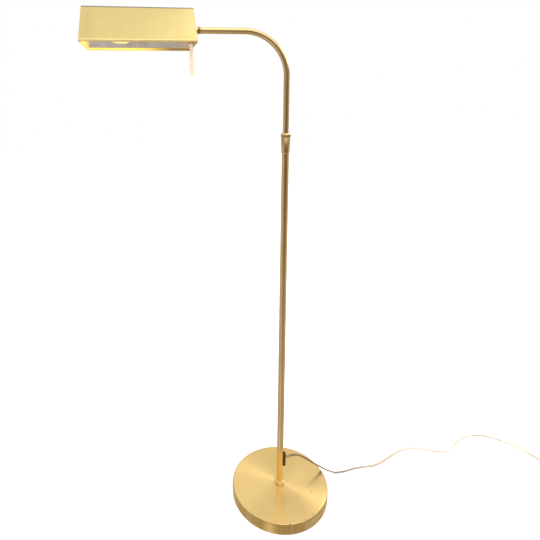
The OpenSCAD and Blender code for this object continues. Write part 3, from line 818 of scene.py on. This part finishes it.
def finish_base():
    """Spun disc with fine and wide rings, a brushed rim painted darker with lighter patches of painted
    reflection, the specks and dents that the old lacquer has, and a darker band on the near edge."""
    n = Nodes("base_brass")
    n.set(Metallic=1.0, Anisotropic=0.85, Anisotropic_Rotation=0.25)
    tangent = n.tree.nodes.new("ShaderNodeTangent")
    tangent.direction_type = "RADIAL"
    tangent.axis = "Z"
    n.link(tangent.outputs["Tangent"], "Tangent")
    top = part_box("base_cover")[1].z
    spun = n.rings(900, n.radius())
    wide_rings = n.rings(60, n.radius())
    tone = n.mix(n.span(n.noise(11, 4), 0.35, 0.65, 0, 1), (0.87, 0.63, 0.265), (0.79, 0.565, 0.235))
    tone = n.mix(n.span(wide_rings, 0.4, 0.7, 0, 0.2), tone, (0.90, 0.66, 0.28))

    # The rim's side is painted darker and more saturated than the top, with lighter patches: painted shade and
    # painted reflection over its brush marks.
    on_rim = n.span(n.axis("Z"), top - 3.2 * MM, top - 2.2 * MM, 1, 0)
    brushed = n.noise(1, 4, n.stretched((420, 420, 16)), rough=0.7)
    painted_sheen_patches = n.noise(1, 2, n.stretched((22, 22, 3)))
    rim = n.mix(n.span(brushed, 0.35, 0.65, 0, 1), (0.93, 0.64, 0.22), (0.74, 0.47, 0.15))
    rim = n.mix(n.span(painted_sheen_patches, 0.42, 0.62, 0, 0.8), rim, (0.98, 0.78, 0.36))
    tone = n.mix(on_rim, tone, rim)

    specks = n.span(n.noise(210, 3, rough=0.7), 0.69, 0.78, 0, 0.9)
    tone = n.mix(specks, tone, (0.2, 0.11, 0.04))
    # Single marks on the top: place and radius in mm, and how dark.
    marks = (
        (70, -44, 1.9, 0.9), (63, 23, 1.7, 0.5), (38, 14, 1.4, 0.4), (-25, 83, 1.6, 0.5),
        (117, 7, 9, 0.22), (-10, -118.5, 2.6, 0.85), (52, -103, 2.4, 0.6), (30, -114, 2.2, 0.5),
    )
    for x, y, size, depth in marks:
        away = n.distance((x * MM, y * MM, top))
        tone = n.mix(n.span(away, size * 0.4 * MM, size * MM, depth, 0), tone, (0.16, 0.09, 0.04))

    # The rounded edge is darker in a noisy band on the near side, from 2.7 to 0.7 mm under the top.
    near_edge_dark_band = n.mix(n.span(n.noise(38, 3), 0.36, 0.52, 0.25, 0.85), tone, (0.34, 0.20, 0.07))
    near_edge_dark_band = n.mix(n.span(n.axis("Y"), -90 * MM, -60 * MM, 0, 1), near_edge_dark_band, tone)
    near_edge_dark_band = n.mix(n.span(n.axis("Z"), top - 2.7 * MM, top - 2.1 * MM, 0, 1), tone, near_edge_dark_band)
    n.link(n.mix(n.span(n.axis("Z"), top - 1.2 * MM, top - 0.7 * MM, 0, 1), near_edge_dark_band, tone), "Base Color")
    n.link(n.span(spun, 0.3, 0.7, 0.32, 0.42), "Roughness")
    dented = n.bump(n.noise(17, 2), 0.06, 0.002)
    n.link(n.bump(brushed, 0.1, 0.0002, n.bump(spun, 0.08, 0.0002, dented)), "Normal")
    return n.mat


def finish_steel():
    n = Nodes("zinc_steel")
    n.set(Metallic=1.0)
    clouds = n.span(n.noise(120, 4), 0.4, 0.6, 0, 1)
    n.link(n.mix(clouds, (0.60, 0.61, 0.63), (0.48, 0.48, 0.47)), "Base Color")
    n.link(n.span(n.noise(400, 3), 0.3, 0.7, 0.25, 0.42), "Roughness")
    return n.mat


def finish_iron():
    n = Nodes("cast_iron")
    n.set(Metallic=0.6)
    grit = n.noise(300, 6, rough=0.7)
    n.link(n.mix(grit, (0.05, 0.05, 0.055), (0.12, 0.11, 0.11)), "Base Color")
    n.link(n.span(grit, 0.3, 0.7, 0.6, 0.9), "Roughness")
    n.link(n.bump(grit, 0.6, 0.0008), "Normal")
    return n.mat


def finish_felt():
    n = Nodes("felt")
    n.set(Sheen_Weight=0.6)
    nap = n.noise(900, 5, rough=0.7)
    n.link(n.mix(nap, (0.02, 0.04, 0.035), (0.06, 0.09, 0.08)), "Base Color")
    n.link(n.span(nap, 0.3, 0.7, 0.85, 1.0), "Roughness")
    n.link(n.bump(nap, 0.7, 0.0006), "Normal")
    return n.mat


def plastic(name, light, dark, rough, texture, depth, **more):
    """Moulded plastic or rubber: cloudy colour and a fine texture of the given scale and depth."""
    n = Nodes(name)
    n.set(**more)
    n.link(n.mix(n.span(n.noise(30, 4), 0.35, 0.65, 0, 1), light, dark), "Base Color")
    fine = n.noise(texture, 3)
    n.link(n.span(fine, 0.3, 0.7, rough * 0.85, rough * 1.2), "Roughness")
    n.link(n.bump(fine, depth, 0.0002), "Normal")
    return n


def finish_lever():
    """Ivory plastic that the bulb shines through, more orange near the top."""
    n = plastic("ivory_plastic", (0.90, 0.79, 0.58), (0.85, 0.73, 0.52), 0.4, 400, 0.05,
                Emission_Strength=0.13)
    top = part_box("switch_lever")[1].z
    lit = n.span(n.axis("Z"), top - 42 * MM, top - 27 * MM, 0, 1)
    n.link(n.mix(lit, (1.0, 0.80, 0.50), (0.9, 0.42, 0.12)), "Emission Color")
    return n.mat


def finish_flex():
    """Flex painted brown up to 130 mm from the column and cream from 360 mm on: painted light, the cream for the
    floor's light on it.
    """
    n = plastic("cord_plastic", (0.70, 0.60, 0.47), (0.58, 0.47, 0.35), 0.34, 300, 0.1,
                Subsurface_Weight=0.25, Subsurface_Radius=(0.004, 0.003, 0.002), Specular_IOR_Level=0.3)
    # Painted light: brown near the column, fading to cream out on the floor where the floor's light falls on it.
    painted_light_fade = n.span(n.axis("X"), 130 * MM, 360 * MM, 1, 0)
    n.link(n.mix(painted_light_fade, n.colour_so_far(), (0.18, 0.115, 0.05)), "Base Color")
    return n.mat


def finish_lining():
    """The pale metallic coat inside the shade and its column-side cap."""
    n = Nodes("shade_coat")
    n.set(Metallic=1.0)
    clouds = n.span(n.noise(45, 5), 0.35, 0.65, 0, 1)
    n.link(n.mix(clouds, (0.98, 0.93, 0.90), (0.80, 0.75, 0.73)), "Base Color")
    n.link(n.span(n.noise(180, 4), 0.3, 0.7, 0.24, 0.36), "Roughness")
    n.link(n.bump(n.noise(240, 3), 0.12, 0.0003), "Normal")
    return n.mat


def finish_far_cap():
    """The far cap's inner side, which the bulb lights."""
    n = Nodes("far_cap_coat")
    n.set(Metallic=1.0, Emission_Strength=0.3, Emission_Color=(1.0, 0.72, 0.22, 1))
    clouds = n.span(n.noise(60, 4), 0.35, 0.65, 0, 1)
    n.link(n.mix(clouds, (0.96, 0.77, 0.34), (0.88, 0.66, 0.26)), "Base Color")
    n.link(n.span(n.noise(220, 3), 0.3, 0.7, 0.5, 0.66), "Roughness")
    return n.mat


def finish_glass():
    """Frosted glass, lit from inside."""
    n = Nodes("bulb_glass")
    n.set(Roughness=0.45, Emission_Strength=0.85)
    haze = n.span(n.noise(60, 3), 0.3, 0.7, 0, 1)
    n.link(n.mix(haze, (0.26, 0.22, 0.12), (0.20, 0.17, 0.10)), "Base Color")
    n.link(n.mix(haze, (1.0, 0.76, 0.26), (1.0, 0.70, 0.20)), "Emission Color")
    return n.mat


def make_finishes():
    """Every material by its slot, and the linings by their piece."""
    tarnish = (0.3, 0.17, 0.07)
    tube = brass("tube_brass", (0.87, 0.665, 0.325), (0.79, 0.57, 0.26), tarnish, 0.16,
                 (500, 500, 6), 0.08)
    turned = brass("turned_brass", (0.88, 0.65, 0.31), (0.79, 0.55, 0.25), tarnish, 0.2,
                   (60, 60, 1800), 0.12)
    made = {
        "shade_brass": finish_shade(), "tube_brass": tube.mat, "turned_brass": turned.mat,
        "base_brass": finish_base(), "zinc_steel": finish_steel(), "cast_iron": finish_iron(),
        "felt": finish_felt(), "ivory_plastic": finish_lever(), "cord_plastic": finish_flex(),
        "shade_coat": finish_lining(), "far_cap_coat": finish_far_cap(), "bulb_glass": finish_glass(),
    }
    made["bulb_metal"] = made["zinc_steel"]
    made["cap_coat"] = made["shade_coat"]
    for name, light, dark, rough, texture, depth in (
        ("guide_nylon", (0.8, 0.78, 0.7), (0.72, 0.69, 0.6), 0.45, 500, 0.1),
        ("phenolic", (0.035, 0.028, 0.026), (0.022, 0.018, 0.017), 0.38, 700, 0.12),
        ("friction_fibre", (0.06, 0.045, 0.03), (0.035, 0.026, 0.018), 0.7, 900, 0.4),
        ("tie_rubber", (0.03, 0.03, 0.032), (0.02, 0.02, 0.022), 0.6, 800, 0.2),
    ):
        made[name] = plastic(name, light, dark, rough, texture, depth).mat
    brown = plastic("brown_plastic", (0.075, 0.038, 0.018), (0.045, 0.022, 0.011), 0.42, 600, 0.15,
                    Specular_IOR_Level=0.2)
    relief = plastic("relief_plastic", (0.36, 0.24, 0.12), (0.28, 0.17, 0.08), 0.35, 500, 0.1,
                     Subsurface_Weight=0.2, Subsurface_Radius=(0.004, 0.002, 0.001))
    made["brown_plastic"] = brown.mat
    made["relief_plastic"] = relief.mat
    return made


def apply_finishes(made):
    """Each CAD node gets its slot's material, and each visual piece its slot's or its own."""
    slots = {s["node"]: s["material_slot"] for s in frame["record"]["subparts"]}
    for node, obj in frame["nodes"].items():
        obj.data.materials.clear()
        obj.data.materials.append(made[slots[node]])
    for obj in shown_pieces():
        finish = made.get(obj.get("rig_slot", obj.name))
        if finish:
            obj.data.materials.clear()
            obj.data.materials.append(finish)


def soften_cad_edges():
    """The CAD pieces that show get narrow rounded edges."""
    width, sharpest = 0.25 * MM, math.radians(50)
    for node in ("end_cap_column_side", "end_cap_far_side", "holder_bracket", "bracket_screws",
                 "swivel_nut", "holder_nut", "switch_housing", "swivel_stud"):
        bevel = frame["nodes"][node].modifiers.new("edges", "BEVEL")
        bevel.width = width
        bevel.segments = 2
        bevel.limit_method = "ANGLE"
        bevel.angle_limit = sharpest


finishes = make_finishes()
apply_finishes(finishes)
soften_cad_edges()


# ---- Studio ----
def area_light(name, place, aim, size, power, colour):
    """A rectangular light at place, facing aim."""
    data = bpy.data.lights.new(name, "AREA")
    data.shape = "RECTANGLE"
    data.size, data.size_y = size
    data.energy = power
    data.color = colour
    light = bpy.data.objects.new(name, data)
    light.location = place
    light.rotation_euler = (Vector(aim) - Vector(place)).to_track_quat("-Z", "Y").to_euler()
    scene.collection.objects.link(light)
    return light


def build_studio():
    """A pale floor that takes shadows and stays out of the brass."""
    half = 9
    corners = [(-half, -half, 0), (half, -half, 0), (half, half, 0), (-half, half, 0)]
    floor_mesh = bpy.data.meshes.new("floor")
    floor_mesh.from_pydata(corners, [], [(0, 1, 2, 3)])
    floor = bpy.data.objects.new("floor", floor_mesh)
    scene.collection.objects.link(floor)
    floor.visible_glossy = False
    mat = bpy.data.materials.new("floor")
    mat.use_nodes = True
    shader = mat.node_tree.nodes["Principled BSDF"]
    shader.inputs["Base Color"].default_value = (0.88, 0.88, 0.88, 1)
    shader.inputs["Roughness"].default_value = 0.9
    floor_mesh.materials.append(mat)


def ramp(tree, fac, stops):
    """A colour ramp from (position, colour) stops."""
    node = tree.nodes.new("ShaderNodeValToRGB")
    marks = node.color_ramp.elements
    marks[0].position, marks[1].position = stops[0][0], stops[-1][0]
    for position, _ in stops[1:-1]:
        marks.new(position)
    for mark, (_, colour) in zip(marks, stops):
        mark.color = (*colour, 1)
    tree.links.new(fac, node.inputs["Fac"])
    return node.outputs["Color"]


def math_node(tree, operation, first, second=None):
    """One sum on a node's output, and on a second output or a float."""
    node = tree.nodes.new("ShaderNodeMath")
    node.operation = operation
    tree.links.new(first, node.inputs[0])
    if isinstance(second, float):
        node.inputs[1].default_value = second
    elif second:
        tree.links.new(second, node.inputs[1])
    return node.outputs["Value"]


def doorway_share(tree, direction, height, depth):
    """How much of the bright doorway shows in a direction. It stands behind the camera on the left,
    strong low down and faint from a little under the horizon up, and gives the column its light line."""
    across = tree.nodes.new("ShaderNodeVectorMath")
    across.operation = "DOT_PRODUCT"
    across.inputs[1].default_value = (0.766, -0.643, 0)
    tree.links.new(direction, across.inputs[0])
    off_middle = math_node(tree, "ABSOLUTE", across.outputs["Value"])
    in_strip = map_range(tree, off_middle, 0.07, 0.17, 0.85, 0.0)
    low_down = map_range(tree, height, 0.16, 0.32, 1.0, 0.12)
    behind_camera = math_node(tree, "LESS_THAN", depth, -0.2)
    share = math_node(tree, "MULTIPLY", in_strip, low_down)
    return math_node(tree, "MULTIPLY", share, behind_camera)


def build_world():
    """A pale room with a dim warm side behind the camera, and a plain white backdrop. The ramps go
    from straight down, 0, to straight up, 1. The front one is what lies behind the camera."""
    world = bpy.data.worlds.new("world")
    world.use_nodes = True
    tree = world.node_tree
    direction = tree.nodes.new("ShaderNodeTexCoord").outputs["Generated"]
    parts = split_vector(tree, direction)
    height = map_range(tree, parts["Z"], -1, 1, 0, 1)
    front = ramp(tree, height, (
        (0.0, (0.40, 0.36, 0.33)), (0.09, (0.40, 0.35, 0.32)), (0.17, (0.50, 0.46, 0.43)),
        (0.27, (0.34, 0.28, 0.26)), (0.40, (0.19, 0.14, 0.125)), (0.535, (0.20, 0.15, 0.13)),
        (0.575, (0.48, 0.43, 0.40)), (0.64, (0.72, 0.68, 0.64)), (0.74, (1.15, 1.12, 1.06)),
        (0.84, (1.9, 1.85, 1.75)), (0.93, (1.8, 1.76, 1.68)), (1.0, (0.74, 0.73, 0.69))))
    back = ramp(tree, height, (
        (0.0, (0.40, 0.36, 0.33)), (0.08, (0.42, 0.38, 0.35)), (0.30, (0.58, 0.57, 0.56)),
        (0.48, (0.56, 0.54, 0.53)), (0.55, (0.40, 0.38, 0.37)), (0.70, (0.36, 0.35, 0.34)),
        (0.80, (1.13, 1.12, 1.09)), (0.88, (1.2, 1.19, 1.16)), (1.0, (0.74, 0.73, 0.69))))
    room = mix_colours(tree, map_range(tree, parts["Y"], -0.82, -0.35, 0, 1), front, back)
    doorway = doorway_share(tree, direction, height, parts["Y"])
    room = mix_colours(tree, doorway, room, (1.15, 1.08, 0.95))
    to_camera = tree.nodes.new("ShaderNodeLightPath").outputs["Is Camera Ray"]
    seen = mix_colours(tree, to_camera, room, (1.0, 1.0, 1.0))
    tree.links.new(seen, tree.nodes["Background"].inputs["Color"])
    scene.world = world
    scene.view_settings.view_transform = "Standard"


def build_lights():
    """Soft light from above and from the right, even daylight, and the lamp's own bulb."""
    overhead = area_light("overhead", (0.25, -0.42, 2.9), (-0.2, 0, 1.1), (1.5, 1.5), 4.6,
                          (1.0, 0.99, 0.94))
    window = area_light("window", (2.3, 0.95, 2.1), (0, 0, 0.1), (1.0, 1.0), 17, (1.0, 0.96, 0.86))
    for light in (overhead, window):
        light.visible_camera = False

    sun = bpy.data.lights.new("daylight", "SUN")
    sun.energy = 2.4
    sun.angle = math.radians(60)
    daylight = bpy.data.objects.new("daylight", sun)
    daylight.rotation_euler = (math.radians(18), math.radians(-12), 0)
    daylight.visible_glossy = False
    scene.collection.objects.link(daylight)

    low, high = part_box("bulb_glass")
    filament = 26 * MM
    bulb = bpy.data.lights.new("lamp_glow", "POINT")
    bulb.energy = 0.6
    bulb.color = (1.0, 0.72, 0.32)
    bulb.shadow_soft_size = 22 * MM
    glow = bpy.data.objects.new("lamp_glow", bulb)
    glow.location = (low.x + filament, 0, (low.z + high.z) / 2)
    glow.visible_camera = False
    scene.collection.objects.link(glow)


build_studio()
build_world()
build_lights()
